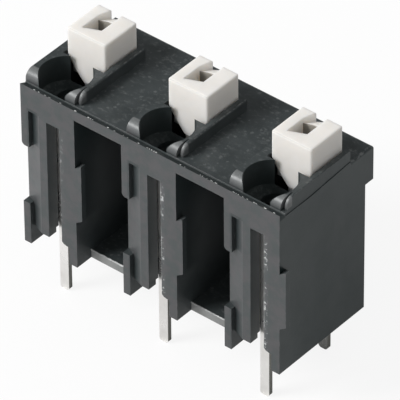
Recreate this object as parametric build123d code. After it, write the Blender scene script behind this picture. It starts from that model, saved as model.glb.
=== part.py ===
from build123d import *
import os

# Three-pole spring terminal block for a printed circuit board.
# Each pole takes its wire from above, and the push button behind the wire opens its clamp.
# Sizes are in millimetres. X runs along the row, Y to the back and Z up.
# The pieces are drawn with zero at the first pole's left edge, the front face and the board,
# and then moved so that the origin lies under the middle of the block, level with the pin tips.

# Row of poles
poles = 3
pitch = 7.5

# Moulded housing, heights from the board and drops from the front lip
housing_height = 11.55
head_overhang = 0.72
head_drop = 2.57
head_radius = 0.25
top_edge_radius = 0.25
top_drop = 0.12
lip_depth = 0.45
lip_drop = 0.2
lip_step = 0.05
side_wall = 0.4
front_wall = 0.85
front_wall_step = 0.22
front_step_height = 1.55
rear_wall = 1.13
rear_ledge = 0.21
roof_thickness = 2.1
pocket_left_wall = 0.53
pocket_right_wall = 0.4
parting_step = 0.04
parting_drop = 0.33
parting_back_rise = 0.05

# Open bays between the poles
bay_head = 0.72
bay_floor = 0.55
bay_floor_setback = 1.25
bay_back_wall = 0.9

# Front corner cut, tabs, key and feet of each pole
corner_width = 1.35
corner_depth = 0.5
corner_drop = 1.73
tab_width = 0.55
tab_drop = 4.4
tab_radius = 0.25
lower_tab_height = 2.98
foot_width = 0.5
foot_depth = 1.1
right_foot_width = 0.6
right_foot_depth = 1.35
foot_height = 1.2
key_width = 0.45
key_drop = 3.9
key_height = 4.0
key_depth = 0.6
key_lead = 0.35
key_slant = 0.3

# Test slot in the front of each pole
slot_shift = 0.385
slot_width = 0.97
slot_drop = 1.92
slot_radius = 0.4

# Wire entry: wide mouth with a flat front, funnel and straight throat
mouth_radius = 1.6
mouth_shift = 0.045
mouth_setback = 1.28
mouth_depth = 1.0
throat_radius = 1.0
throat_length = 0.6
throat_shift = 0.45

# Collar beside the wire entry and the button
collar_rise = 0.72
collar_radius = 0.55
fin_rise = 0.8
fin_width = 0.22
fin_setback = 0.22
fin_radius = 0.6
fin_edge = 0.12
fin_groove = 0.13
fin_groove_length = 1.0

# Release button
button_width = 2.87
button_depth = 2.82
button_gap = 0.04
button_rise = 2.3
button_corner = 0.12
button_edge = 0.1
button_skirt = 1.15
button_clearance = 0.1
button_travel = 1.2
nose_depth = 0.5
nose_rise = 0.5
nose_drop = 1.25
nose_shoulder = 0.33
nose_narrowing = 0.5
nose_tip_width = 0.5
nose_tip_rise = 0.15
nose_room = 0.28
hole_width = 1.09
hole_length = 0.91
hole_left_wall = 0.7
hole_front_wall = 1.05
hole_depth = 2.5
lead_in_length = 0.52
lead_in_drop = 0.95
lead_in_tilt = 0.85
outlet_front_drop = 0.34
outlet_back_drop = 0.68
outlet_tilt = 0.34
outlet_narrowing = 0.29
plunger_width = 1.2
plunger_depth = 0.6
lug_width = 1.6
lug_height = 0.3
lug_reach = 0.26
lug_gap = 0.05

# Current bar with its two solder pins
bar_thickness = 0.3
bar_gap = 0.05
bar_foot_gap = 0.2
bar_bend = 0.45
bar_head_gap = 0.43
bar_rear_rise = 3.85
pin_shift = 0.2
pin_width = 0.65
pin_length = 3.1
pin_tip_radius = 0.2
pin_relief = 0.12

# Clamp spring
spring_thickness = 0.2
spring_width = 2.2
spring_seat_gap = 0.02
spring_tip_height = 3.0
spring_tip_gap = 0.05
spring_base_length = 3.4
spring_shoulder = 1.15
spring_base_bend = 0.5
spring_top_bend = 0.5
spring_push_gap = 0.1

# Worked out from the sizes above
column_width = pocket_left_wall + button_width + 2 * button_clearance + pocket_right_wall
mouth_x = column_width / 2 - mouth_shift
slot_x = column_width / 2 + slot_shift
pin_x = column_width / 2 + pin_shift
button_x = pocket_left_wall + button_clearance + button_width / 2
row_width = (poles - 1) * pitch + column_width
total_width = row_width + key_width
bay_width = pitch - column_width
top = housing_height - top_drop
roof_under = top - roof_thickness
lip_end = lip_depth + lip_step
mouth_y = lip_end + mouth_setback
throat_y = mouth_y + throat_shift
button_front = mouth_y + mouth_radius + button_gap
button_back = button_front + button_depth
cavity_back = button_back + button_clearance + rear_ledge
body_depth = cavity_back + rear_wall
head_depth = body_depth + head_overhang
collar_back = button_back + button_clearance
button_top = housing_height + button_rise
bar_front = front_wall + bar_gap
bar_back = cavity_back - bar_gap
bar_under = foot_height + bar_foot_gap
web_top = bar_under + bar_thickness
bar_height = roof_under - bar_head_gap
bar_rear_height = web_top + bar_rear_rise
lug_top = roof_under - lug_gap
lug_under = lug_top - lug_height
spring_top = lug_under - button_travel - button_clearance
plunger_front = button_front + nose_depth
big = 40.0


def block(x0, x1, y0, y1, z0, z1):
    """A box between two corners."""
    return Pos((x0 + x1) / 2, (y0 + y1) / 2, (z0 + z1) / 2) * Box(x1 - x0, y1 - y0, z1 - z0)


def along_x(points, x0, x1):
    """A side profile of (y, z) points, extruded from x0 to x1."""
    face = make_face(Polyline(*[(x0, y, z) for y, z in points], close=True))
    return extrude(face, amount=x1 - x0, dir=(1, 0, 0))


def along_y(points, y0, y1):
    """A front profile of (x, z) points, extruded from y0 to y1."""
    face = make_face(Polyline(*[(x, y0, z) for x, z in points], close=True))
    return extrude(face, amount=y1 - y0, dir=(0, 1, 0))


def along_z(points, z0, z1):
    """A plan of (x, y) points, extruded from z0 to z1."""
    face = make_face(Polyline(*[(x, y, z0) for x, y in points], close=True))
    return extrude(face, amount=z1 - z0, dir=(0, 0, 1))


def upright(radius, x, y, z0, z1):
    """A cylinder that stands on z0."""
    return Pos(x, y, (z0 + z1) / 2) * Cylinder(radius, z1 - z0)


def housing_body():
    """The side profile of the whole moulding, with its sunk lip, overhang and rounded back edge."""
    profile = [
        (0, 0),
        (0, housing_height),
        (lip_depth, housing_height - lip_drop),
        (lip_end, top),
        (head_depth, top),
        (head_depth, housing_height - head_drop),
        (body_depth, housing_height - head_drop),
        (body_depth, 0),
    ]
    body = along_x(profile, 0, row_width)
    back_edges = body.edges().filter_by(Axis.X).group_by(Axis.Y)[-1]
    return fillet(back_edges.sort_by(Axis.Z)[-1], head_radius)


def bay():
    """The open space between two poles, with a floor that starts behind the front."""
    x0 = column_width
    x1 = column_width + bay_width
    depth = body_depth - bay_back_wall
    space = block(x0, x1, 0, depth, bay_floor, housing_height - bay_head)
    return space + block(x0, x1, 0, bay_floor_setback, 0, bay_floor)


def rounded_front(start, height, radius, x0, x1):
    """A rib along Y from a rounded front edge to the back of the collar."""
    with BuildSketch(Plane.YZ) as side:
        with BuildLine():
            Line((start, top - lip_drop), (start, top + height - radius))
            RadiusArc((start, top + height - radius), (start + radius, top + height), radius)
            Line((start + radius, top + height), (collar_back, top + height))
            Line((collar_back, top + height), (collar_back, top - lip_drop))
            Line((collar_back, top - lip_drop), (start, top - lip_drop))
        make_face()
    return Pos(x0, 0, 0) * extrude(side.sketch, amount=x1 - x0, dir=(1, 0, 0))


def collar():
    """Both arms of one pole's collar, solid until the bore and the button pocket are cut."""
    fin_start = column_width - fin_width
    arms = rounded_front(lip_end, collar_rise, collar_radius, 0, fin_start)
    fin = rounded_front(lip_end + fin_setback, fin_rise, fin_radius, fin_start - fin_groove, column_width)
    outer_edge = fin.edges().filter_by(Axis.Y).group_by(Axis.Z)[-1].sort_by(Axis.X)[-1]
    fin = fillet(outer_edge, fin_edge)
    groove_end = lip_end + fin_groove_length
    groove = block(fin_start - fin_groove, fin_start, 0, groove_end, top, top + fin_rise)
    return arms + fin - groove


def side_relief():
    """The parting line on the right side: the wall above it stands a little further in."""
    line = housing_height - parting_drop
    points = [
        (lip_end, line),
        (head_depth / 3, line),
        (head_depth, housing_height + parting_back_rise),
        (head_depth, big),
        (lip_end, big),
    ]
    return along_x(points, row_width - parting_step, row_width)


def top_edge_rounding():
    """What is cut from the two top side edges behind the collars."""
    ends = block(0, row_width, collar_back, head_depth, top - top_edge_radius, big)
    side_edges = block(0, row_width, collar_back, head_depth, 0, top)
    upper = side_edges.edges().filter_by(Axis.Y).group_by(Axis.Z)[-1]
    return ends - fillet(upper, top_edge_radius)


def pole_additions():
    """Tabs, key and feet that stand on the front of one pole."""
    tab_bottom = housing_height - tab_drop
    upper = block(0, tab_width, 0, corner_depth, tab_bottom, housing_height - corner_drop)
    low_edge = upper.edges().filter_by(Axis.Y).sort_by(lambda e: e.center().X + e.center().Z)[0]
    upper = fillet(low_edge, tab_radius)
    lower = block(0, foot_width, 0, corner_depth, 0, lower_tab_height)
    left_foot = block(0, foot_width, 0, foot_depth, 0, foot_height)
    right_foot = block(column_width - right_foot_width, column_width, 0, right_foot_depth, 0, foot_height)
    key_top = housing_height - key_drop
    key_end = column_width + key_width
    key_plan = [
        (column_width, 0),
        (key_end, 0),
        (key_end, key_lead),
        (column_width, key_depth),
    ]
    key_face = [
        (column_width, key_top - key_height - key_slant),
        (key_end, key_top - key_height),
        (key_end, key_top),
        (column_width, key_top - key_slant),
    ]
    key = along_z(key_plan, 0, key_top) & along_y(key_face, 0, key_depth)
    return upper + lower + left_foot + right_foot + key


def pole_cuts():
    """Corner cut, test slot, cavity, wire entry and button pocket of one pole."""
    corner = along_z(
        [(0, 0), (corner_width, 0), (0, corner_depth)], 0, housing_height - corner_drop
    )
    cavity = block(side_wall, column_width - side_wall, front_wall, cavity_back, 0, roof_under)
    step_front = front_wall - front_wall_step
    cavity += block(side_wall, column_width - side_wall, step_front, cavity_back, 0, front_step_height)
    notch = block(foot_width, column_width - foot_width, 0, front_wall, 0, foot_height)
    slot = block(
        slot_x - slot_width / 2, slot_x + slot_width / 2, 0, front_wall, 0, housing_height - slot_drop
    )
    flare_points = [
        (slot_x, foot_height),
        (slot_x + slot_width / 2 + slot_radius, foot_height),
        (slot_x + slot_width / 2 + slot_radius / 3, foot_height + slot_radius / 6),
        (slot_x + slot_width / 2, foot_height + slot_radius / 2),
        (slot_x, foot_height + slot_radius / 2),
    ]
    flare = along_y(flare_points, 0, front_wall)
    return corner + cavity + notch + slot + flare + wire_entry() + button_pocket()


def wire_entry():
    """Wide mouth, funnel and a throat that leads the wire between bar and spring."""
    mouth_foot = top - mouth_depth
    throat_top = roof_under + throat_length
    mouth = upright(mouth_radius, mouth_x, mouth_y, mouth_foot, housing_height + button_rise)
    funnel = loft([
        Pos(mouth_x, mouth_y, mouth_foot) * Circle(mouth_radius),
        Pos(mouth_x, throat_y, throat_top) * Circle(throat_radius),
    ])
    throat = upright(throat_radius, mouth_x, throat_y, roof_under, throat_top)
    return (mouth + funnel + throat) & block(0, column_width, lip_end, big, 0, big)


def button_pocket():
    """The guide that the button slides in, with room for its tongue beside the wire entry."""
    gap = button_clearance
    half = button_width / 2 + gap
    guide = block(
        button_x - half, button_x + half, button_front - gap, button_back + gap, roof_under, big
    )
    room_foot = housing_height - nose_drop - gap
    room = block(
        button_x - half, button_x + half, button_front - nose_room, button_front, room_foot, big
    )
    return guide + room


def housing():
    """The one-piece black moulding of all poles."""
    body = housing_body()
    for pole in range(poles):
        place = Pos(pole * pitch, 0, 0)
        body += place * collar()
    for pole in range(poles):
        body -= Pos(pole * pitch, 0, 0) * pole_cuts()
    for pole in range(poles - 1):
        body -= Pos(pole * pitch, 0, 0) * bay()
    body -= side_relief()
    body -= top_edge_rounding()
    for pole in range(poles):
        body += Pos(pole * pitch, 0, 0) * pole_additions()
    return body


def spring_leg_height(y):
    """Height of the middle of the clamping leg at depth y."""
    tip_y, tip_z = spring_tip()
    shoulder_y, shoulder_z = spring_shoulder_point()
    return tip_z + (y - tip_y) * (shoulder_z - tip_z) / (shoulder_y - tip_y)


def spring_tip():
    """The clamping edge, close to the back of the bar's contact plate."""
    y = bar_front + bar_thickness + spring_tip_gap + spring_thickness
    return y, web_top + spring_tip_height


def spring_back():
    """Depth of the middle of the spring's upright leg."""
    return bar_back - bar_thickness - bar_gap - spring_thickness / 2


def spring_shoulder_point():
    """The corner where the top of the spring turns into the clamping leg."""
    return spring_back() - spring_shoulder, spring_top - spring_thickness / 2


def clamp_spring():
    """A leaf bent into a foot, an upright back and a clamping leg."""
    half = spring_thickness / 2
    base = web_top + spring_seat_gap + half
    back = spring_back()
    points = [
        (back - spring_base_length, base),
        (back, base),
        (back, spring_top - half),
        spring_shoulder_point(),
        spring_tip(),
    ]
    path = FilletPolyline(*points, radius=[spring_base_bend, spring_top_bend, spring_top_bend])
    leaf = trace(path, line_width=spring_thickness)
    solid = extrude(Plane.YZ * leaf, amount=spring_width)
    return Pos(column_width / 2 - spring_width / 2, 0, 0) * solid


def current_bar():
    """A strip folded into contact plate, web and rear plate, with a solder pin under each plate."""
    half = bar_thickness / 2
    front = bar_front + half
    back = bar_back - half
    base = bar_under + half
    path = FilletPolyline(
        (front, bar_height), (front, base), (back, base), (back, bar_rear_height), radius=bar_bend
    )
    width = column_width - 2 * (side_wall + bar_gap)
    strip = extrude(Plane.YZ * trace(path, line_width=bar_thickness), amount=width)
    bar = Pos(side_wall + bar_gap, 0, 0) * strip
    pin_half = pin_width / 2
    for middle in (front, back):
        for side in (-1, 1):
            edge = pin_x + side * (pin_half + pin_relief / 2)
            bar -= block(
                edge - pin_relief / 2,
                edge + pin_relief / 2,
                middle - half - bar_bend,
                middle + half + bar_bend,
                bar_under - pin_relief,
                web_top + bar_bend,
            )
    for middle in (front, back):
        bar += solder_pin(middle)
    return bar


def solder_pin(middle):
    """A flat pin from the plate above the web to its rounded tip."""
    pin = block(
        pin_x - pin_width / 2,
        pin_x + pin_width / 2,
        middle - bar_thickness / 2,
        middle + bar_thickness / 2,
        -pin_length,
        web_top + bar_bend,
    )
    tip = pin.edges().filter_by(Axis.Y).group_by(Axis.Z)[0]
    return fillet(tip, pin_tip_radius)


def button_nose():
    """What is cut away on both sides of the pointed tongue under the button's front."""
    half = button_width / 2
    tip = nose_tip_width / 2
    shoulder = housing_height - nose_shoulder
    tip_z = housing_height - nose_drop
    shoulder_half = half - nose_narrowing
    keep = [
        (button_x - half, housing_height + nose_rise),
        (button_x - shoulder_half, shoulder),
        (button_x - tip, tip_z + nose_tip_rise),
        (button_x, tip_z),
        (button_x + tip, tip_z + nose_tip_rise),
        (button_x + shoulder_half, shoulder),
        (button_x + half, housing_height + nose_rise),
    ]
    tongue = along_y(keep, button_front, plunger_front)
    return block(-big, big, button_front, plunger_front, 0, housing_height + nose_rise) - tongue


def sloped_cut(y0, y1, near, far):
    """A cut with an even floor; each end is given as left x, right x, left height and right height."""
    ends = []
    for y, (left, right, left_z, right_z) in ((y0, near), (y1, far)):
        points = [(left, y, left_z), (right, y, right_z), (right, y, big), (left, y, big)]
        ends.append(make_face(Polyline(*points, close=True)))
    return loft(ends)


def button_recess():
    """Tool recess: a tilted lead-in, a deep square hole and an outlet between two horns."""
    left = button_x - button_width / 2 + hole_left_wall
    right = left + hole_width
    hole_front = button_front + hole_front_wall
    hole_back = hole_front + hole_length
    lead_in = sloped_cut(
        hole_front - lead_in_length,
        hole_front,
        (left, right, button_top, button_top + lead_in_tilt),
        (left, right, button_top - lead_in_drop, button_top - lead_in_drop + lead_in_tilt),
    )
    outlet = sloped_cut(
        hole_back,
        button_back + button_edge,
        (left, right, button_top - outlet_front_drop, button_top - outlet_front_drop + outlet_tilt),
        (left + outlet_narrowing, right, button_top - outlet_back_drop, button_top - outlet_back_drop + outlet_tilt),
    )
    hole = block(left, right, hole_front, hole_back, button_top - hole_depth, big)
    return lead_in + outlet + hole


def release_button():
    """The push button with its tongue, plunger and retaining lug."""
    half = button_width / 2
    x0 = button_x - half
    x1 = button_x + half
    skirt_under = housing_height - button_skirt
    body = block(x0, x1, button_front, button_back, skirt_under, button_top)
    body = fillet(body.edges().filter_by(Axis.Z), button_corner)
    body = fillet(body.edges().group_by(Axis.Z)[-1], button_edge)
    body -= button_nose()
    body -= button_recess()
    leg_gap = spring_thickness + spring_push_gap
    plunger_back = plunger_front + plunger_depth
    plunger = along_x(
        [
            (plunger_front, skirt_under),
            (plunger_front, spring_leg_height(plunger_front) + leg_gap),
            (plunger_back, spring_leg_height(plunger_back) + leg_gap),
            (plunger_back, skirt_under),
        ],
        button_x - plunger_width / 2,
        button_x + plunger_width / 2,
    )
    lug = along_x(
        [
            (button_back - plunger_depth, skirt_under),
            (button_back, skirt_under),
            (button_back, lug_top),
            (button_back + lug_reach, lug_top),
            (button_back, lug_under),
            (button_back - plunger_depth, lug_under),
        ],
        button_x - lug_width / 2,
        button_x + lug_width / 2,
    )
    return body + plunger + lug


def write(solid, name):
    """Move one finished piece into the part's frame and write its file."""
    placed = Pos(-total_width / 2, -head_depth / 2, pin_length) * solid
    export_step(placed, os.path.join("parts", name + ".step"))


os.makedirs("parts", exist_ok=True)
write(housing(), "housing")
for number in range(poles):
    at = Pos(number * pitch, 0, 0)
    write(at * release_button(), f"release_button_{number + 1}")
    write(at * current_bar(), f"current_bar_{number + 1}")
    write(at * clamp_spring(), f"clamp_spring_{number + 1}")
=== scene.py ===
import bpy
import math
from mathutils import Matrix, Vector


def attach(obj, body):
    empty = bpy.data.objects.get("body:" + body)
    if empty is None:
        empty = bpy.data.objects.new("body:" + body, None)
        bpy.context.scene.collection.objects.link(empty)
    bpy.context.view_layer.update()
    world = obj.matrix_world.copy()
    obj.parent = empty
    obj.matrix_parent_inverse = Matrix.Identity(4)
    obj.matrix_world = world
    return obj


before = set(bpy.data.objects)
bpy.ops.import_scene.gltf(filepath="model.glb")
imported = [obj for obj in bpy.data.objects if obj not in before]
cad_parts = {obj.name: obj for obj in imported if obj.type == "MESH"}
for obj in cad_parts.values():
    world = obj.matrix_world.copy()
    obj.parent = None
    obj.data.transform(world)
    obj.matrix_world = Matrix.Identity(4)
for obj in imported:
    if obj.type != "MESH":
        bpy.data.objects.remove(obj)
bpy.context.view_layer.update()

MM = 0.001
POLES = 3
PITCH = 7.5 * MM

# Housing places in the part's frame: ends of the row, front face, board and front lip
ROW_LEFT = -9.725 * MM
ROW_RIGHT = 9.275 * MM
FRONT = -4.2 * MM
BOARD = 3.1 * MM
LIP_TOP = 14.65 * MM

# A column's width, and a bay floor's height over the board and distance behind the front face
COLUMN = 4.0 * MM
BAY_FLOOR = 0.55 * MM
BAY_FLOOR_SETBACK = 1.25 * MM

# Places within one pole: across from its left edge, depth from the front face, drop from the lip.
# A pair is the range of a mark, or with START or END in its name, the stretch where it fades in or out
MOUTH_ACROSS = 1.955 * MM
MOUTH_DEPTH = 1.78 * MM
MOUTH_RADIUS = 1.6 * MM
MOUTH_DROP_END = (2.1 * MM, 1.9 * MM)
LIP_DEPTH = (0.04 * MM, 0.485 * MM)
LIP_DROP_END = (0.45 * MM, 0.35 * MM)
NOSE_DEPTH = (0.45 * MM, 1.15 * MM)
NOSE_DROP_END = (0.05 * MM, -0.05 * MM)
NOSE_HIGHLIGHT_DROP = (-0.66 * MM, -0.34 * MM)
SLOT_ACROSS = (1.6 * MM, 2.95 * MM)
SLOT_DROP = (2.2 * MM, 11.5 * MM)
SLOT_WORN_DROP = (2.2 * MM, 10.4 * MM)
SCRAPED_ACROSS = (2.78 * MM, 3.10 * MM)
THREAD_ACROSS = (2.83 * MM, 2.90 * MM)
TAB_SIDE_ACROSS = (0.45 * MM, 1.24 * MM)
UPPER_TAB_DROP = (1.55 * MM, 4.15 * MM)
LOWER_TAB_DROP_START = (8.5 * MM, 8.7 * MM)
COLUMN_SIDE_ACROSS = (COLUMN - 0.1 * MM, COLUMN + 0.1 * MM)
BAY_SHADE_DEPTH_END = (2.6 * MM, 0.8 * MM)
BAY_SHADE_DROP = (1.0 * MM, 8.4 * MM)
BAY_LIT_DROP = (3.5 * MM, 8.8 * MM)
SILL_DEPTH = (BAY_FLOOR_SETBACK - 0.05 * MM, BAY_FLOOR_SETBACK + 0.05 * MM)
SILL_ACROSS_START = (COLUMN, COLUMN + 0.01 * MM)
SILL_LIGHT_FADE_ACROSS = (COLUMN, COLUMN + 2.4 * MM)
SILL_DROP_START = (10.7 * MM, 10.9 * MM)
BUTTON_SIDE_ACROSS_START = (3.2 * MM, 3.3 * MM)
REAR_PIN_DEPTH_START = (2.5 * MM, 4.5 * MM)

# Tool hole of a button within one pole, the drop of the button's top, and how far below it shade is full
HOLE_LEFT = 1.33 * MM
HOLE_WIDTH = 1.09 * MM
HOLE_FRONT = 4.47 * MM
HOLE_LENGTH = 0.91 * MM
BUTTON_TOP_DROP = -2.3 * MM
HOLE_SHADE_FADE = 0.2 * MM

# Camera, fitted to the photograph: angles in degrees, distances in metres, the sensor in millimetres
VIEW_AZIMUTH = 39.9266
VIEW_ELEVATION = 39.0902
VIEW_ROLL = -0.5318
VIEW_DISTANCE = 0.36076
VIEW_TARGET = Vector((-0.8209 * MM, 1.0184 * MM, 7.3606 * MM))
VIEW_CLIP = (0.01, 5.0)
FOCAL_PIXELS = 6287.3
IMAGE_WIDTH = 400
SENSOR_WIDTH = 36.0

# Key lamp: direction from the part, distance, size and power, and where it looks
KEY_TOWARDS = Vector((-0.50, -0.62, 0.58))
KEY_DISTANCE = 0.45
KEY_SIZE = 0.18
KEY_POWER = 1.75
LAMP_AIM = Vector((0.0, 0.0, 0.009))

# Room, as greys: its light, and what shiny faces mirror from low and high directions
AMBIENT = 0.50
ROOM_LOW = 0.30
ROOM_HIGH = 0.08
ROOM_RISE = (0.05, 0.5)

# Floor: half width in metres, greys for bounced light and for the eye, and glow seen and mirrored
FLOOR_HALF = 0.6
FLOOR_BOUNCE = 0.50
FLOOR_SEEN = 0.93
FLOOR_GLOW_SEEN = 0.87
FLOOR_GLOW_MIRRORED = 0.05

# Colours, linear
HOUSING_DARK = (0.040, 0.048, 0.0495, 1.0)
HOUSING_LIGHT = (0.055, 0.064, 0.066, 1.0)
# Painted shade: the dark colour laid where shade falls, beside the tabs, on the bay walls, in the wire
# mouths, on the lip and on the row's outer sides
HOUSING_PAINTED_SHADE = (0.0115, 0.021, 0.022, 1.0)
# Front faces: a mottled tone, painted lighter than the top and sides as painted light
HOUSING_FACE_WARM = (0.079, 0.075, 0.079, 1.0)
HOUSING_FACE_COOL = (0.054, 0.064, 0.065, 1.0)
# Pale grey for the top's scuffs and flecks, and for painted highlights on the collar noses and edges
HOUSING_SCUFF_AND_HIGHLIGHT = (0.20, 0.21, 0.21, 1.0)
# Painted light on the front of each bay's floor
HOUSING_SILL_LIGHT = (0.35, 0.355, 0.35, 1.0)
HOUSING_SLOT = (0.052, 0.062, 0.064, 1.0)
# Pale grey for the scraped strips beside the slots, for painted light on the bay walls and for painted
# highlight on the collar noses
HOUSING_SCRAPED_AND_LIT = (0.125, 0.130, 0.132, 1.0)
HOUSING_FIBRE = (0.62, 0.63, 0.63, 1.0)
FLASH_DULL = (0.30, 0.31, 0.31, 1.0)
FLASH_PALE = (0.72, 0.73, 0.72, 1.0)
BUTTON_BASE = (0.85, 0.825, 0.79, 1.0)
BUTTON_SHADE = (0.80, 0.775, 0.735, 1.0)
# Painted shade on the buttons' right-hand faces and front top edges
BUTTON_PAINTED_SHADE = (0.60, 0.585, 0.555, 1.0)
BUTTON_HOLE = (0.27, 0.255, 0.225, 1.0)
TIN_BASE = (0.94, 0.925, 0.905, 1.0)
TIN_STAIN = (0.80, 0.785, 0.76, 1.0)
TIN_SHADED = (0.22, 0.225, 0.215, 1.0)
# Sides of the strips: partly bare sheared metal, partly painted shade
TIN_SHEARED_AND_SHADED = (0.20, 0.20, 0.185, 1.0)
SPRING_BASE = (0.52, 0.52, 0.50, 1.0)

# How strongly each mark covers the colour under it; a pair runs from the start to the end of its mask
FRONT_LIGHT_TONE = 0.75
BAY_LIT_TONE = 0.6
OUTER_SIDE_SHADE_TONE = (0.90, 1.0)
SCUFF_TONE = 0.5
TOP_FLECK_TONE = 0.28
TAB_SHADE_TONE = 0.68
LOWER_TAB_SHARE = 0.8
BAY_SHADE_TONE = 0.6
SLOT_WALL_TONE = 0.7
SCRAPED_TONE = 0.5
SCRAPED_PATCHES = (0.35, 1.0)
SLOT_FLECK_TONE = 0.9
SLOT_THREAD_TONE = 0.75
WEAR_FIRST_TO_OTHERS = (0.35, 0.88)
NOSE_LIGHT_TONE = 0.8
NOSE_HIGHLIGHT_TONE = (0.35, 0.8)
WEAR_AND_GLINT_TONE = 0.6
SILL_LIGHT_TONE = (1.0, 0.55)
LIP_SHADE_SHARE = 0.8
HOLLOW_SHADE_TONE = 0.72
FRONT_TOP_SHADE_TONE = 0.6
BUTTON_SIDE_SHADE_TONE = 0.52
REAR_PIN_TONE = 0.8

# Roughness along each material's cloud pattern, and what single marks add to it
HOUSING_ROUGH = (0.42, 0.34)
FLASH_ROUGH = (0.3, 0.6)
BUTTON_ROUGH = (0.6, 0.7)
TIN_ROUGH = (0.24, 0.36)
SPRING_ROUGH = (0.26, 0.4)
SCRAPED_ROUGHER = 0.2
INSIDE_ROUGHER = 0.4
NOSE_ROUGHER = 0.03
SHEARED_ROUGHER = 0.2

# Relief of each surface: strength and height in metres
HOUSING_RELIEF = (0.35, 0.01 * MM)
BUTTON_RELIEF = (0.12, 0.01 * MM)
METAL_RELIEF = (0.3, 0.006 * MM)

# Noise in the shared groups, whose scale each material sets: detail and roughness
EDGE_BREAK = (4.0, 0.6)
GRAIN_FINE = (3.0, 0.65)
GRAIN_CLOUD = (5.0, 0.55)

# Noise that pushes the flecks out of shape: scale, detail and reach
FLECK_WARP_SCALE = 9000.0
FLECK_WARP_DETAIL = 2.0
FLECK_WARP_REACH = 0.16 * MM

# Noise patterns: scale (one number, or one for each axis), detail and roughness
FACE_MOTTLE = (1500.0, 6.0, 0.62)
SIDE_STREAKS = ((900.0, 900.0, 130.0), 3.0, 0.5)
TOP_SCUFFS = ((2300.0, 3600.0, 2300.0), 6.0, 0.7)
SLOT_CLUSTERS = ((900.0, 900.0, 620.0), 4.0, 0.6)
SLOT_STRANDS = ((2500.0, 2500.0, 900.0), 5.0, 0.7)
NOSE_HIGHLIGHT_SPECKS = (5200.0, 4.0, 0.7)
EDGE_GLINT_DOTS = (3600.0, 3.0, 0.6)

# Where a pattern's mask begins and where it is full
EDGE_BREAK_RISE = (0.45, 0.66)
GRAIN_CLOUD_RISE = (0.3, 0.7)
FACE_MOTTLE_RISE = (0.36, 0.64)
SIDE_STREAKS_RISE = (0.35, 0.7)
TOP_SCUFFS_RISE = (0.50, 0.78)
SLOT_CLUSTERS_RISE = (0.42, 0.60)
SLOT_STRANDS_RISE = (0.46, 0.60)
NOSE_HIGHLIGHT_SPECKS_RISE = (0.35, 0.65)
EDGE_GLINT_DOTS_RISE = (0.47, 0.62)

# The part of a face's normal, from -1 to 1, at which its mask begins and is full
FACING_UP_RISE = (0.3, 0.8)
FACING_FRONT_RISE = (-0.6, -0.95)
FACING_SIDE_RISE = (0.6, 0.95)
ROUNDED_RISE = (0.25, 0.6)
BUTTON_FRONT_RISE = (-0.25, -0.5)
BUTTON_TOP_RISE = (0.25, 0.5)

# Edge wear and painted glint: dot product of the flat and the rounded normal where it begins and is
# full, and its radius
EDGE_BEND_RISE = (0.995, 0.80)
EDGE_WEAR_AND_GLINT_RADIUS = 0.05 * MM

# Shine of the plastics, the light that soaks into the buttons, and the softness of their edges
HOUSING_SHINE = 0.47
BUTTON_SHINE = 0.2
BUTTON_SOAK_SHARE = 0.6
BUTTON_SOAK_COLOUR = (1.0, 0.94, 0.86)
BUTTON_SOAK_REACH = 0.7 * MM
BUTTON_ROUNDING = 0.12 * MM

# Drawn streaks on the metal strips: scale across and its share along the strip, detail, roughness
TIN_STREAKS = 9000.0
SPRING_STREAKS = 7000.0
STREAKS_ALONG = 0.06
STREAKS = (3.0, 0.5)

# Moulding flash: crumb size, spacing and share kept of each line, and the seeds
LIP_CRUMBS = (0.035 * MM, 0.16 * MM, 0.3)
BAY_CRUMBS = (0.065 * MM, 0.05 * MM, 0.9)
LIP_SEED = 7
BAY_SEED = 11
FLASH_INSET = 0.045 * MM
CRUMB_TURN = (6.28, 0.2, 0.2)
CRUMB_LEAST = (0.7, 0.4, 0.4)
CRUMB_MOST = (3.2, 1.0, 1.0)


def add(tree, kind, **inputs):
    """One shader node with its plain input values set by name."""
    node = tree.nodes.new(kind)
    for name, value in inputs.items():
        node.inputs[name.replace("_", " ")].default_value = value
    return node


def feed(tree, value, socket):
    """Links a socket, or sets a plain value."""
    if isinstance(value, bpy.types.NodeSocket):
        tree.links.new(value, socket)
    else:
        socket.default_value = value


def calc(tree, operation, first, second=0.0):
    """One Math node on links or plain values."""
    node = tree.nodes.new("ShaderNodeMath")
    node.operation = operation
    feed(tree, first, node.inputs[0])
    feed(tree, second, node.inputs[1])
    return node.outputs[0]


def times(tree, first, *others):
    """The product of masks and plain numbers."""
    for other in others:
        first = calc(tree, "MULTIPLY", first, other)
    return first


def grey(value):
    """A neutral colour."""
    return (value, value, value, 1.0)


def split(tree, vector):
    """The X, Y and Z of a vector."""
    node = add(tree, "ShaderNodeSeparateXYZ")
    tree.links.new(vector, node.inputs[0])
    return node.outputs


def group_sockets(group, inputs, outputs):
    """Named inputs with their defaults, and named outputs, on a shader node group."""
    for name, kind, default in inputs:
        socket = group.interface.new_socket(name, in_out="INPUT", socket_type=kind)
        socket.default_value = default
    for name, kind in outputs:
        group.interface.new_socket(name, in_out="OUTPUT", socket_type=kind)
    entry = group.nodes.new("NodeGroupInput")
    leave = group.nodes.new("NodeGroupOutput")
    return entry.outputs, leave.inputs


def mix_colours(tree, factor, first, second):
    """A Mix node set to colours, whose colour sockets are inputs 6 and 7 and output 2."""
    node = tree.nodes.new("ShaderNodeMix")
    node.data_type = "RGBA"
    feed(tree, factor, node.inputs[0])
    feed(tree, first, node.inputs[6])
    feed(tree, second, node.inputs[7])
    return node.outputs[2]


def layered(tree, colour, layers):
    """Lays tones over a colour, one after another, each where its mask says."""
    for mask, tone in layers:
        colour = mix_colours(tree, mask, colour, tone)
    return colour


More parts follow.
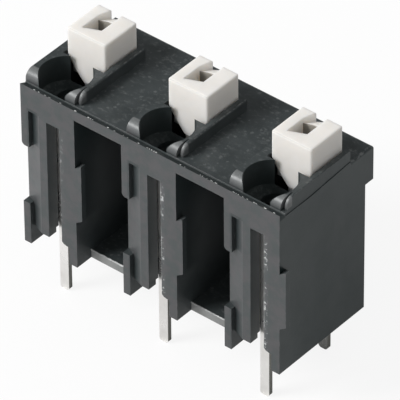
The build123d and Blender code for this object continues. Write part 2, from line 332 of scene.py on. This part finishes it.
def ramp(tree, value, low, high):
    """A smooth step from 0 at low to 1 at high."""
    node = tree.nodes.new("ShaderNodeMapRange")
    node.interpolation_type = "SMOOTHSTEP"
    node.inputs["From Min"].default_value = low
    node.inputs["From Max"].default_value = high
    tree.links.new(value, node.inputs["Value"])
    return node.outputs["Result"]


def between(tree, value, low, high, soft):
    """1 where a value lies between two limits, with soft ends."""
    rise = ramp(tree, value, low - soft, low + soft)
    fall = ramp(tree, value, high + soft, high - soft)
    return times(tree, rise, fall)


def vary(tree, mask, low, high):
    """A number that runs from low to high with a mask."""
    node = tree.nodes.new("ShaderNodeMapRange")
    node.inputs["To Min"].default_value = low
    node.inputs["To Max"].default_value = high
    tree.links.new(mask, node.inputs["Value"])
    return node.outputs["Result"]


def noise(tree, vector, scale, detail, roughness):
    """A noise value; its scale is a number, a link, or one number for each axis."""
    if isinstance(scale, tuple):
        stretch = add(tree, "ShaderNodeMapping", Scale=scale)
        tree.links.new(vector, stretch.inputs["Vector"])
        vector, scale = stretch.outputs[0], 1.0
    node = add(tree, "ShaderNodeTexNoise", Detail=detail, Roughness=roughness)
    tree.links.new(vector, node.inputs["Vector"])
    feed(tree, scale, node.inputs["Scale"])
    return node.outputs["Fac"]


def bump(tree, height, strength, distance):
    """A bump node on a height in the same tree."""
    node = add(tree, "ShaderNodeBump", Strength=strength, Distance=distance)
    tree.links.new(height, node.inputs["Height"])
    return node


def edge_wear_and_glint_group():
    """Mask of sharp outer edges, from the bend of the rounded normal, broken up by noise."""
    group = bpy.data.node_groups.new("edge_wear_and_glint", "ShaderNodeTree")
    source, result = group_sockets(
        group,
        [("Radius", "NodeSocketFloat", EDGE_WEAR_AND_GLINT_RADIUS), ("Break Scale", "NodeSocketFloat", 900.0)],
        [("Mask", "NodeSocketFloat")],
    )
    bevel = add(group, "ShaderNodeBevel")
    bevel.samples = 4
    group.links.new(source["Radius"], bevel.inputs["Radius"])
    flat = add(group, "ShaderNodeNewGeometry")
    dot = add(group, "ShaderNodeVectorMath")
    dot.operation = "DOT_PRODUCT"
    group.links.new(bevel.outputs["Normal"], dot.inputs[0])
    group.links.new(flat.outputs["Normal"], dot.inputs[1])
    bend = ramp(group, dot.outputs["Value"], *EDGE_BEND_RISE)
    place = add(group, "ShaderNodeTexCoord")
    value = noise(group, place.outputs["Object"], source["Break Scale"], *EDGE_BREAK)
    group.links.new(times(group, bend, ramp(group, value, *EDGE_BREAK_RISE)), result["Mask"])
    return group


def fleck_group():
    """Small irregular flecks: the near parts of a cell pattern whose place is warped by noise."""
    group = bpy.data.node_groups.new("flecks", "ShaderNodeTree")
    source, result = group_sockets(
        group,
        [
            ("Scale", "NodeSocketFloat", 6000.0),
            ("Size", "NodeSocketFloat", 0.3),
            ("Share", "NodeSocketFloat", 0.2),
        ],
        [("Mask", "NodeSocketFloat")],
    )
    place = add(group, "ShaderNodeTexCoord")
    warp = add(group, "ShaderNodeTexNoise", Scale=FLECK_WARP_SCALE, Detail=FLECK_WARP_DETAIL)
    group.links.new(place.outputs["Object"], warp.inputs["Vector"])
    push = add(group, "ShaderNodeVectorMath")
    push.operation = "SCALE"
    push.inputs["Scale"].default_value = FLECK_WARP_REACH
    group.links.new(warp.outputs["Color"], push.inputs[0])
    moved = add(group, "ShaderNodeVectorMath")
    moved.operation = "ADD"
    group.links.new(place.outputs["Object"], moved.inputs[0])
    group.links.new(push.outputs[0], moved.inputs[1])
    cells = add(group, "ShaderNodeTexVoronoi")
    group.links.new(moved.outputs[0], cells.inputs["Vector"])
    group.links.new(source["Scale"], cells.inputs["Scale"])
    pick = add(group, "ShaderNodeSeparateColor")
    group.links.new(cells.outputs["Color"], pick.inputs[0])
    reach = times(group, source["Size"], pick.outputs[1])
    near = calc(group, "LESS_THAN", cells.outputs["Distance"], reach)
    chosen = calc(group, "LESS_THAN", pick.outputs[0], source["Share"])
    group.links.new(times(group, near, chosen), result["Mask"])
    return group


def grain_group():
    """Fine surface grain: a height for bumps and a slower cloud for colour and gloss."""
    group = bpy.data.node_groups.new("grain", "ShaderNodeTree")
    source, result = group_sockets(
        group,
        [("Fine Scale", "NodeSocketFloat", 6000.0), ("Cloud Scale", "NodeSocketFloat", 350.0)],
        [("Height", "NodeSocketFloat"), ("Cloud", "NodeSocketFloat")],
    )
    place = add(group, "ShaderNodeTexCoord")
    fine = noise(group, place.outputs["Object"], source["Fine Scale"], *GRAIN_FINE)
    cloud = noise(group, place.outputs["Object"], source["Cloud Scale"], *GRAIN_CLOUD)
    group.links.new(fine, result["Height"])
    group.links.new(ramp(group, cloud, *GRAIN_CLOUD_RISE), result["Cloud"])
    return group


def facing_group():
    """Masks of the faces that look up, to the front and to the side, in the part's own axes."""
    group = bpy.data.node_groups.new("facing", "ShaderNodeTree")
    _, result = group_sockets(
        group,
        [],
        [("Up", "NodeSocketFloat"), ("Front", "NodeSocketFloat"), ("Side", "NodeSocketFloat")],
    )
    place = add(group, "ShaderNodeTexCoord")
    normal = split(group, place.outputs["Normal"])
    sideways = calc(group, "ABSOLUTE", normal["X"])
    group.links.new(ramp(group, normal["Z"], *FACING_UP_RISE), result["Up"])
    group.links.new(ramp(group, normal["Y"], *FACING_FRONT_RISE), result["Front"])
    group.links.new(ramp(group, sideways, *FACING_SIDE_RISE), result["Side"])
    return group


def pole_place_group():
    """Place within one pole, in metres: from its left edge, from the front face and from the lip."""
    group = bpy.data.node_groups.new("pole_place", "ShaderNodeTree")
    source, result = group_sockets(
        group,
        [("Left", "NodeSocketFloat", 0.0), ("Pitch", "NodeSocketFloat", 1.0)],
        [("Across", "NodeSocketFloat"), ("Depth", "NodeSocketFloat"), ("Drop", "NodeSocketFloat")],
    )
    place = add(group, "ShaderNodeTexCoord")
    point = split(group, place.outputs["Object"])
    along = calc(group, "SUBTRACT", point["X"], source["Left"])
    group.links.new(calc(group, "FLOORED_MODULO", along, source["Pitch"]), result["Across"])
    group.links.new(calc(group, "SUBTRACT", point["Y"], FRONT), result["Depth"])
    group.links.new(calc(group, "SUBTRACT", LIP_TOP, point["Z"]), result["Drop"])
    return group


def place_group(tree, group, **values):
    """Puts a shared group into a material with this material's own values."""
    node = tree.nodes.new("ShaderNodeGroup")
    node.node_tree = group
    for name, value in values.items():
        node.inputs[name.replace("_", " ")].default_value = value
    return node.outputs


def within_pole(tree, groups):
    """The places across, deep and down within each pole of this row."""
    return place_group(tree, groups["pole_place"], Left=ROW_LEFT, Pitch=PITCH)


def new_material(name):
    """An empty node material with its shader and output linked."""
    material = bpy.data.materials.new(name)
    material.use_nodes = True
    tree = material.node_tree
    tree.nodes.clear()
    shader = tree.nodes.new("ShaderNodeBsdfPrincipled")
    output = tree.nodes.new("ShaderNodeOutputMaterial")
    tree.links.new(shader.outputs[0], output.inputs["Surface"])
    return material, tree, shader


def slot_strip(tree, pole, facing, left, right, soft):
    """A strip of the front face beside each test slot, between two places across the pole."""
    across = between(tree, pole["Across"], left, right, soft)
    drop = between(tree, pole["Drop"], *SLOT_WORN_DROP, soft=0.5 * MM)
    return times(tree, across, drop, facing["Front"])


def slot_wear(tree, groups, pole, facing, objects):
    """Wear beside the slots, least at the first pole: a scraped strip, and bright flecks and threads."""
    strip = slot_strip(tree, pole, facing, *SCRAPED_ACROSS, soft=0.10 * MM)
    clusters = ramp(tree, noise(tree, objects, *SLOT_CLUSTERS), *SLOT_CLUSTERS_RISE)
    flecks = place_group(tree, groups["flecks"], Scale=7000.0, Size=0.8, Share=0.5)
    fleck = times(tree, flecks["Mask"], strip, clusters, SLOT_FLECK_TONE)
    line = slot_strip(tree, pole, facing, *THREAD_ACROSS, soft=0.02 * MM)
    strands = ramp(tree, noise(tree, objects, *SLOT_STRANDS), *SLOT_STRANDS_RISE)
    bright = calc(tree, "MAXIMUM", fleck, times(tree, line, strands, SLOT_THREAD_TONE))
    first_end = ROW_LEFT + COLUMN
    later = ramp(tree, split(tree, objects)["X"], first_end, first_end + PITCH)
    share = vary(tree, later, *WEAR_FIRST_TO_OTHERS)
    scraped = times(tree, strip, vary(tree, clusters, *SCRAPED_PATCHES), share)
    return scraped, times(tree, bright, share)


def slot_wall(tree, pole, facing):
    """The walls inside each test slot."""
    across = between(tree, pole["Across"], *SLOT_ACROSS, soft=0.05 * MM)
    drop = between(tree, pole["Drop"], *SLOT_DROP, soft=0.05 * MM)
    return times(tree, across, drop, facing["Side"], SLOT_WALL_TONE)


def column_side(tree, pole):
    """The right-hand face of each column, towards its bay."""
    return between(tree, pole["Across"], *COLUMN_SIDE_ACROSS, soft=0.02 * MM)


def shaded_corners(tree, pole, facing):
    """The shade beside each upper and lower tab, and on the bay walls near the front."""
    across = between(tree, pole["Across"], *TAB_SIDE_ACROSS, soft=0.12 * MM)
    upper = between(tree, pole["Drop"], *UPPER_TAB_DROP, soft=0.06 * MM)
    lower = times(tree, ramp(tree, pole["Drop"], *LOWER_TAB_DROP_START), LOWER_TAB_SHARE)
    tabs = calc(tree, "MAXIMUM", upper, lower)
    corner = times(tree, across, tabs, facing["Front"], TAB_SHADE_TONE)
    depth = ramp(tree, pole["Depth"], *BAY_SHADE_DEPTH_END)
    drop = between(tree, pole["Drop"], *BAY_SHADE_DROP, soft=0.3 * MM)
    wall = times(tree, column_side(tree, pole), depth, drop, facing["Side"], BAY_SHADE_TONE)
    return calc(tree, "MAXIMUM", corner, wall)


def lit_bay_wall(tree, pole, facing):
    """The middle of each column's right-hand face, a little paler as painted light."""
    drop = between(tree, pole["Drop"], *BAY_LIT_DROP, soft=1.5 * MM)
    return times(tree, column_side(tree, pole), drop, facing["Side"], BAY_LIT_TONE)


def mouth_shade(tree, pole):
    """Painted shade inside each wire entry, round the axis of its mouth."""
    across = calc(tree, "SUBTRACT", pole["Across"], MOUTH_ACROSS)
    depth = calc(tree, "SUBTRACT", pole["Depth"], MOUTH_DEPTH)
    squares = calc(tree, "ADD", calc(tree, "POWER", across, 2.0), calc(tree, "POWER", depth, 2.0))
    reach = calc(tree, "SQRT", squares)
    round_axis = ramp(tree, reach, MOUTH_RADIUS + 0.04 * MM, MOUTH_RADIUS + 0.01 * MM)
    return times(tree, round_axis, ramp(tree, pole["Drop"], *MOUTH_DROP_END))


def lip_shade(tree, pole):
    """Painted shade on the sunk lip behind the front face, down to its step."""
    depth = between(tree, pole["Depth"], *LIP_DEPTH, soft=0.01 * MM)
    return times(tree, depth, ramp(tree, pole["Drop"], *LIP_DROP_END), LIP_SHADE_SHARE)


def nose_highlights(tree, pole):
    """The rounded fronts of the collars, painted lighter as a painted highlight, and the band of
    brightest painted highlight on them.
    """
    depth = between(tree, pole["Depth"], *NOSE_DEPTH, soft=0.04 * MM)
    nose = times(tree, depth, ramp(tree, pole["Drop"], *NOSE_DROP_END))
    band = between(tree, pole["Drop"], *NOSE_HIGHLIGHT_DROP, soft=0.14 * MM)
    return nose, times(tree, nose, band)


def lit_bay_sill(tree, pole):
    """The front of each bay's floor, painted paler as painted light, most at the left and dimmer to the
    right.
    """
    depth = between(tree, pole["Depth"], *SILL_DEPTH, soft=0.01 * MM)
    across = ramp(tree, pole["Across"], *SILL_ACROSS_START)
    drop = ramp(tree, pole["Drop"], *SILL_DROP_START)
    shade = vary(tree, ramp(tree, pole["Across"], *SILL_LIGHT_FADE_ACROSS), *SILL_LIGHT_TONE)
    return times(tree, depth, across, drop, shade)


def glinting_side_edge(tree, place):
    """The rounded edges between a top and a side, with a painted highlight in dots along them."""
    normal = split(tree, place["Normal"])
    side = ramp(tree, calc(tree, "ABSOLUTE", normal["X"]), *ROUNDED_RISE)
    top = ramp(tree, normal["Z"], *ROUNDED_RISE)
    dots = ramp(tree, noise(tree, place["Object"], *EDGE_GLINT_DOTS), *EDGE_GLINT_DOTS_RISE)
    return times(tree, side, top, dots)


def row_end_shade(tree, facing, objects):
    """The two outer sides of the row, darkened as painted shade and faintly streaked."""
    middle = (ROW_LEFT + ROW_RIGHT) / 2
    half = (ROW_RIGHT - ROW_LEFT) / 2
    away = calc(tree, "ABSOLUTE", calc(tree, "SUBTRACT", split(tree, objects)["X"], middle))
    outer = ramp(tree, away, half - 0.07 * MM, half - 0.05 * MM)
    streaks = ramp(tree, noise(tree, objects, *SIDE_STREAKS), *SIDE_STREAKS_RISE)
    return times(tree, facing["Side"], outer, vary(tree, streaks, *OUTER_SIDE_SHADE_TONE))


def moulded_housing(groups):
    """Black glass-filled plastic, textured on top, with mottled front faces painted lighter as painted
    light, painted shade in its corners, hollows and outer sides, and painted light and highlights on bay
    walls, sills, collar noses and edges.
    """
    material, tree, shader = new_material("moulded_housing")
    place = add(tree, "ShaderNodeTexCoord").outputs
    objects = place["Object"]
    pole = within_pole(tree, groups)
    facing = place_group(tree, groups["facing"])
    grain = place_group(tree, groups["grain"], Fine_Scale=4200.0, Cloud_Scale=700.0)
    flecks = place_group(tree, groups["flecks"], Scale=3600.0, Size=0.42, Share=0.30)
    wear = place_group(tree, groups["edge_wear_and_glint"], Radius=EDGE_WEAR_AND_GLINT_RADIUS, Break_Scale=1500.0)
    mottle = ramp(tree, noise(tree, objects, *FACE_MOTTLE), *FACE_MOTTLE_RISE)
    scuffs = noise(tree, objects, *TOP_SCUFFS)
    scraped, bright = slot_wear(tree, groups, pole, facing, objects)
    nose, nose_highlight = nose_highlights(tree, pole)
    highlight_specks = ramp(tree, noise(tree, objects, *NOSE_HIGHLIGHT_SPECKS), *NOSE_HIGHLIGHT_SPECKS_RISE)
    rubbed_and_glinting = calc(tree, "MAXIMUM", wear["Mask"], glinting_side_edge(tree, place))
    inside = calc(tree, "MAXIMUM", mouth_shade(tree, pole), lip_shade(tree, pole))
    body = mix_colours(tree, grain["Cloud"], HOUSING_DARK, HOUSING_LIGHT)
    face = mix_colours(tree, mottle, HOUSING_FACE_COOL, HOUSING_FACE_WARM)
    top_scuffs = ramp(tree, scuffs, *TOP_SCUFFS_RISE)
    colour = layered(tree, body, [
        # front faces mottled and painted lighter as painted light
        (times(tree, facing["Front"], FRONT_LIGHT_TONE), face),
        # painted light on the middle of each bay wall
        (lit_bay_wall(tree, pole, facing), HOUSING_SCRAPED_AND_LIT),
        # painted shade on the row's outer sides
        (row_end_shade(tree, facing, objects), HOUSING_PAINTED_SHADE),
        (times(tree, facing["Up"], top_scuffs, SCUFF_TONE), HOUSING_SCUFF_AND_HIGHLIGHT),
        (times(tree, facing["Up"], flecks["Mask"], TOP_FLECK_TONE), HOUSING_SCUFF_AND_HIGHLIGHT),
        # painted shade beside the tabs and on the bay walls near the front
        (shaded_corners(tree, pole, facing), HOUSING_PAINTED_SHADE),
        (slot_wall(tree, pole, facing), HOUSING_SLOT),
        (times(tree, scraped, SCRAPED_TONE), HOUSING_SCRAPED_AND_LIT),
        (bright, HOUSING_FIBRE),
        # painted highlight on the collar noses, brightest in a speckled band
        (times(tree, nose, NOSE_LIGHT_TONE), HOUSING_SCRAPED_AND_LIT),
        (times(tree, nose_highlight, vary(tree, highlight_specks, *NOSE_HIGHLIGHT_TONE)), HOUSING_SCUFF_AND_HIGHLIGHT),
        # edge wear, and painted glints along the sharp and the rounded side edges
        (times(tree, rubbed_and_glinting, WEAR_AND_GLINT_TONE), HOUSING_SCUFF_AND_HIGHLIGHT),
        # painted light on the front of each bay's floor, strongest at the left
        (lit_bay_sill(tree, pole), HOUSING_SILL_LIGHT),
        # painted shade in the wire mouths and on the sunk lip
        (times(tree, inside, HOLLOW_SHADE_TONE), HOUSING_PAINTED_SHADE),
    ])
    tree.links.new(colour, shader.inputs["Base Color"])
    rough = vary(tree, grain["Cloud"], *HOUSING_ROUGH)
    for mark, more in ((scraped, SCRAPED_ROUGHER), (inside, INSIDE_ROUGHER), (nose, NOSE_ROUGHER)):
        rough = calc(tree, "ADD", rough, times(tree, mark, more))
    tree.links.new(rough, shader.inputs["Roughness"])
    height = calc(tree, "ADD", grain["Height"], times(tree, scuffs, facing["Up"]))
    relief = bump(tree, height, *HOUSING_RELIEF)
    tree.links.new(relief.outputs["Normal"], shader.inputs["Normal"])
    shader.inputs["Specular IOR Level"].default_value = HOUSING_SHINE
    return material


def flash_plastic(groups):
    """The torn crumbs that the mould leaves along the lip and the bay floors."""
    material, tree, shader = new_material("moulding_flash")
    grain = place_group(tree, groups["grain"], Fine_Scale=9000.0, Cloud_Scale=1600.0)
    colour = mix_colours(tree, grain["Cloud"], FLASH_DULL, FLASH_PALE)
    tree.links.new(colour, shader.inputs["Base Color"])
    tree.links.new(vary(tree, grain["Height"], *FLASH_ROUGH), shader.inputs["Roughness"])
    return material


def shaded_outer_side(tree, pole, facing):
    """The right-hand face of each button, away from the lamp, darkened as painted shade."""
    right = ramp(tree, pole["Across"], *BUTTON_SIDE_ACROSS_START)
    return times(tree, facing["Side"], right, BUTTON_SIDE_SHADE_TONE)


def tool_hole(tree, pole, facing):
    """The back wall of each button's tool hole, which lies in its own shade."""
    soft = 0.02 * MM
    left, right = HOLE_LEFT - soft, HOLE_LEFT + HOLE_WIDTH + soft
    near, far = HOLE_FRONT - soft, HOLE_FRONT + HOLE_LENGTH + soft
    across = between(tree, pole["Across"], left, right, soft)
    depth = between(tree, pole["Depth"], near, far, soft)
    drop = ramp(tree, pole["Drop"], BUTTON_TOP_DROP, BUTTON_TOP_DROP + HOLE_SHADE_FADE)
    return times(tree, across, depth, facing["Front"], drop)


def shaded_front_top_edge(tree, place):
    """The rounded edge between a button's front and top, darkened as painted shade."""
    normal = split(tree, place["Normal"])
    front = ramp(tree, normal["Y"], *BUTTON_FRONT_RISE)
    top = ramp(tree, normal["Z"], *BUTTON_TOP_RISE)
    return times(tree, front, top, FRONT_TOP_SHADE_TONE)


def button_plastic(groups):
    """Off-white plastic, a little translucent, with soft edges and grain, and painted shade on its
    right-hand faces, front top edges and tool hole walls.
    """
    material, tree, shader = new_material("button_plastic")
    place = add(tree, "ShaderNodeTexCoord").outputs
    pole = within_pole(tree, groups)
    facing = place_group(tree, groups["facing"])
    grain = place_group(tree, groups["grain"], Fine_Scale=4200.0, Cloud_Scale=600.0)
    body = mix_colours(tree, grain["Cloud"], BUTTON_BASE, BUTTON_SHADE)
    painted_shade = calc(tree, "MAXIMUM", shaded_outer_side(tree, pole, facing), shaded_front_top_edge(tree, place))
    colour = layered(tree, body, [
        # painted shade on the right-hand faces and the front top edges
        (painted_shade, BUTTON_PAINTED_SHADE),
        (tool_hole(tree, pole, facing), BUTTON_HOLE),
    ])
    tree.links.new(colour, shader.inputs["Base Color"])
    tree.links.new(vary(tree, grain["Cloud"], *BUTTON_ROUGH), shader.inputs["Roughness"])
    soft = add(tree, "ShaderNodeBevel", Radius=BUTTON_ROUNDING)
    soft.samples = 8
    relief = bump(tree, grain["Height"], *BUTTON_RELIEF)
    tree.links.new(soft.outputs["Normal"], relief.inputs["Normal"])
    tree.links.new(relief.outputs["Normal"], shader.inputs["Normal"])
    shader.inputs["Specular IOR Level"].default_value = BUTTON_SHINE
    shader.inputs["Subsurface Weight"].default_value = BUTTON_SOAK_SHARE
    shader.inputs["Subsurface Radius"].default_value = BUTTON_SOAK_COLOUR
    shader.inputs["Subsurface Scale"].default_value = BUTTON_SOAK_REACH
    return material


def rolled_strip(name, groups, base, rough, streaks):
    """Rolled metal with drawn streaks and cloudy gloss, its sides darkened partly as bare sheared metal
    and partly as painted shade, and painted shade at the rear.
    """
    material, tree, shader = new_material(name)
    place = add(tree, "ShaderNodeTexCoord").outputs
    facing = place_group(tree, groups["facing"])
    grain = place_group(tree, groups["grain"], Fine_Scale=3000.0, Cloud_Scale=500.0)
    rear = ramp(tree, within_pole(tree, groups)["Depth"], *REAR_PIN_DEPTH_START)
    colour = layered(tree, base, [
        (grain["Cloud"], TIN_STAIN),
        (times(tree, rear, REAR_PIN_TONE), TIN_SHADED),
        # sides darkened, partly bare sheared metal and partly painted shade
        (facing["Side"], TIN_SHEARED_AND_SHADED),
    ])
    tree.links.new(colour, shader.inputs["Base Color"])
    sheared = times(tree, facing["Side"], SHEARED_ROUGHER)
    gloss = calc(tree, "ADD", vary(tree, grain["Cloud"], *rough), sheared)
    tree.links.new(gloss, shader.inputs["Roughness"])
    scale = (streaks, streaks, streaks * STREAKS_ALONG)
    relief = bump(tree, noise(tree, place["Object"], scale, *STREAKS), *METAL_RELIEF)
    tree.links.new(relief.outputs["Normal"], shader.inputs["Normal"])
    shader.inputs["Metallic"].default_value = 1.0
    return material


def dress(name, material):
    """Gives a CAD node's object one material on all of its slots."""
    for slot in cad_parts[name].material_slots:
        slot.material = material


def dress_frame(groups):
    """Materials for all CAD nodes."""
    housing = moulded_housing(groups)
    button = button_plastic(groups)
    tin = rolled_strip("bright_tin", groups, TIN_BASE, TIN_ROUGH, TIN_STREAKS)
    steel = rolled_strip("spring_strip", groups, SPRING_BASE, SPRING_ROUGH, SPRING_STREAKS)
    dress("housing", housing)
    for number in range(1, POLES + 1):
        dress(f"release_button_{number}", button)
        dress(f"current_bar_{number}", tin)
        dress(f"clamp_spring_{number}", steel)


def camera():
    """The photograph's view: fitted angles, roll and focal length."""
    azimuth = math.radians(VIEW_AZIMUTH)
    elevation = math.radians(VIEW_ELEVATION)
    roll = math.radians(VIEW_ROLL)
    level = math.cos(elevation)
    back = Vector((math.sin(azimuth) * level, -math.cos(azimuth) * level, math.sin(elevation)))
    right = Vector((math.cos(azimuth), math.sin(azimuth), 0.0))
    up = back.cross(right)
    turned_right = right * math.cos(roll) + up * math.sin(roll)
    turned_up = up * math.cos(roll) - right * math.sin(roll)
    data = bpy.data.cameras.new("photo_view")
    data.sensor_width = SENSOR_WIDTH
    data.lens = FOCAL_PIXELS / IMAGE_WIDTH * SENSOR_WIDTH
    data.clip_start, data.clip_end = VIEW_CLIP
    eye = bpy.data.objects.new("photo_view", data)
    turn = Matrix((turned_right, turned_up, back)).transposed().to_4x4()
    eye.matrix_world = Matrix.Translation(VIEW_TARGET + back * VIEW_DISTANCE) @ turn
    bpy.context.collection.objects.link(eye)
    bpy.context.scene.camera = eye


def softbox(name, towards, distance, size, power):
    """A square area lamp at a distance in one direction, looking at the part."""
    data = bpy.data.lights.new(name, "AREA")
    data.size = size
    data.energy = power
    lamp = bpy.data.objects.new(name, data)
    place = LAMP_AIM + towards.normalized() * distance
    turn = (LAMP_AIM - place).to_track_quat("-Z", "Y").to_matrix().to_4x4()
    lamp.matrix_world = Matrix.Translation(place) @ turn
    bpy.context.collection.objects.link(lamp)


def seen_by(tree):
    """Light path masks: rays from the camera, and rays that mirror or pass through a surface."""
    rays = tree.nodes.new("ShaderNodeLightPath")
    mirror = calc(tree, "MAXIMUM", rays.outputs["Is Glossy Ray"], rays.outputs["Is Transmission Ray"])
    return rays.outputs["Is Camera Ray"], mirror


def pale_stage():
    """A floor that looks white to the camera, pale in reflections, and keeps the part's shadow."""
    material = bpy.data.materials.new("studio_floor")
    material.use_nodes = True
    tree = material.node_tree
    tree.nodes.clear()
    camera_ray, mirror_ray = seen_by(tree)
    seen = calc(tree, "MAXIMUM", camera_ray, mirror_ray)
    plain = add(tree, "ShaderNodeBsdfDiffuse")
    colour = mix_colours(tree, seen, grey(FLOOR_BOUNCE), grey(FLOOR_SEEN))
    tree.links.new(colour, plain.inputs["Color"])
    white = add(tree, "ShaderNodeEmission", Color=grey(1.0), Strength=1.0)
    seen_glow = times(tree, camera_ray, FLOOR_GLOW_SEEN)
    lift = calc(tree, "ADD", seen_glow, times(tree, mirror_ray, FLOOR_GLOW_MIRRORED))
    mix = tree.nodes.new("ShaderNodeMixShader")
    output = tree.nodes.new("ShaderNodeOutputMaterial")
    tree.links.new(lift, mix.inputs[0])
    tree.links.new(plain.outputs[0], mix.inputs[1])
    tree.links.new(white.outputs[0], mix.inputs[2])
    tree.links.new(mix.outputs[0], output.inputs["Surface"])
    half = FLOOR_HALF
    mesh = bpy.data.meshes.new("studio_floor")
    corners = [(-half, -half, 0), (half, -half, 0), (half, half, 0), (-half, half, 0)]
    mesh.from_pydata(corners, [], [(0, 1, 2, 3)])
    mesh.materials.append(material)
    floor = bpy.data.objects.new("studio_floor", mesh)
    bpy.context.collection.objects.link(floor)


def studio():
    """One soft key lamp from the front left, and a room that is pale low down and dark above."""
    world = bpy.data.worlds.new("studio")
    bpy.context.scene.world = world
    world.use_nodes = True
    tree = world.node_tree
    tree.nodes.clear()
    camera_ray, mirror_ray = seen_by(tree)
    place = add(tree, "ShaderNodeTexCoord")
    height = ramp(tree, split(tree, place.outputs["Generated"])["Z"], *ROOM_RISE)
    mirrored = mix_colours(tree, height, grey(ROOM_LOW), grey(ROOM_HIGH))
    colour = mix_colours(tree, mirror_ray, grey(AMBIENT), mirrored)
    colour = mix_colours(tree, camera_ray, colour, grey(1.0))
    light = add(tree, "ShaderNodeBackground", Strength=1.0)
    output = tree.nodes.new("ShaderNodeOutputWorld")
    tree.links.new(colour, light.inputs["Color"])
    tree.links.new(light.outputs[0], output.inputs["Surface"])
    softbox("key", KEY_TOWARDS, KEY_DISTANCE, KEY_SIZE, KEY_POWER)
    pale_stage()


def flash_tree():
    """Crumbs of moulding flash along a line, of random size and turn."""
    tree = bpy.data.node_groups.new("moulding_flash", "GeometryNodeTree")
    tree.interface.new_socket("Geometry", in_out="INPUT", socket_type="NodeSocketGeometry")
    tree.interface.new_socket("Geometry", in_out="OUTPUT", socket_type="NodeSocketGeometry")
    for name, kind, default in (
        ("Crumb Size", "NodeSocketFloat", 0.02 * MM),
        ("Spacing", "NodeSocketFloat", 0.1 * MM),
        ("Share", "NodeSocketFloat", 0.5),
        ("Seed", "NodeSocketInt", 1),
        ("Material", "NodeSocketMaterial", None),
    ):
        socket = tree.interface.new_socket(name, in_out="INPUT", socket_type=kind)
        if default is not None:
            socket.default_value = default
    source = tree.nodes.new("NodeGroupInput").outputs
    result = tree.nodes.new("NodeGroupOutput").inputs
    curve = tree.nodes.new("GeometryNodeMeshToCurve")
    points = tree.nodes.new("GeometryNodeCurveToPoints")
    points.mode = "LENGTH"
    crumb = tree.nodes.new("GeometryNodeMeshIcoSphere")
    crumb.inputs["Subdivisions"].default_value = 1
    turn = tree.nodes.new("FunctionNodeRandomValue")
    turn.data_type = "FLOAT_VECTOR"
    turn.inputs["Max"].default_value = CRUMB_TURN
    stretch = tree.nodes.new("FunctionNodeRandomValue")
    stretch.data_type = "FLOAT_VECTOR"
    stretch.inputs["Min"].default_value = CRUMB_LEAST
    stretch.inputs["Max"].default_value = CRUMB_MOST
    keep = tree.nodes.new("FunctionNodeRandomValue")
    keep.data_type = "BOOLEAN"
    kept = keep.outputs[3]
    copies = tree.nodes.new("GeometryNodeInstanceOnPoints")
    solid = tree.nodes.new("GeometryNodeRealizeInstances")
    finish = tree.nodes.new("GeometryNodeSetMaterial")
    link = tree.links.new
    link(source["Geometry"], curve.inputs["Mesh"])
    link(curve.outputs["Curve"], points.inputs["Curve"])
    link(source["Spacing"], points.inputs["Length"])
    link(source["Crumb Size"], crumb.inputs["Radius"])
    link(source["Share"], keep.inputs["Probability"])
    for node in (turn, stretch, keep):
        link(source["Seed"], node.inputs["Seed"])
    link(points.outputs["Points"], copies.inputs["Points"])
    link(kept, copies.inputs["Selection"])
    link(crumb.outputs["Mesh"], copies.inputs["Instance"])
    link(turn.outputs[0], copies.inputs["Rotation"])
    link(stretch.outputs[0], copies.inputs["Scale"])
    link(copies.outputs["Instances"], solid.inputs["Geometry"])
    link(solid.outputs["Geometry"], finish.inputs["Geometry"])
    link(source["Material"], finish.inputs["Material"])
    link(finish.outputs["Geometry"], result["Geometry"])
    return tree


def flash_line(name, tree, ends, crumbs, seed, material):
    """One line of flash crumbs as a plain mesh that rides on the block."""
    line = bpy.data.meshes.new(name + "_line")
    line.from_pydata(ends, [(0, 1)], [])
    carrier = bpy.data.objects.new(name + "_line", line)
    bpy.context.collection.objects.link(carrier)
    values = dict(zip(("Crumb Size", "Spacing", "Share"), crumbs), Seed=seed, Material=material)
    modifier = carrier.modifiers.new("flash", "NODES")
    modifier.node_group = tree
    for item in tree.interface.items_tree:
        if item.in_out == "INPUT" and item.name in values:
            modifier[item.identifier] = values[item.name]
    bpy.context.view_layer.update()
    ready = carrier.evaluated_get(bpy.context.evaluated_depsgraph_get())
    mesh = bpy.data.meshes.new_from_object(ready)
    bpy.data.objects.remove(carrier)
    piece = bpy.data.objects.new(name, mesh)
    bpy.context.collection.objects.link(piece)
    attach(piece, "block")


def moulding_flash(groups):
    """Broken pale lines along the front edge of the lip and of each bay's floor."""
    tree = flash_tree()
    material = flash_plastic(groups)
    inset = FLASH_INSET
    y = FRONT + inset
    z = LIP_TOP + 0.2 * inset
    ends = [(ROW_LEFT + 2 * inset, y, z), (ROW_RIGHT - 2 * inset, y, z)]
    flash_line("lip_flash", tree, ends, LIP_CRUMBS, LIP_SEED, material)
    y = FRONT + BAY_FLOOR_SETBACK
    z = BOARD + BAY_FLOOR + 0.3 * inset
    for bay in range(POLES - 1):
        left = ROW_LEFT + bay * PITCH + COLUMN + inset
        ends = [(left, y, z), (left + PITCH - COLUMN - 2 * inset, y, z)]
        flash_line(f"bay_flash_{bay + 1}", tree, ends, BAY_CRUMBS, BAY_SEED + bay, material)


shared = {
    "edge_wear_and_glint": edge_wear_and_glint_group(),
    "flecks": fleck_group(),
    "grain": grain_group(),
    "facing": facing_group(),
    "pole_place": pole_place_group(),
}
dress_frame(shared)
moulding_flash(shared)
camera()
studio()
bpy.context.scene.view_settings.view_transform = "Standard"
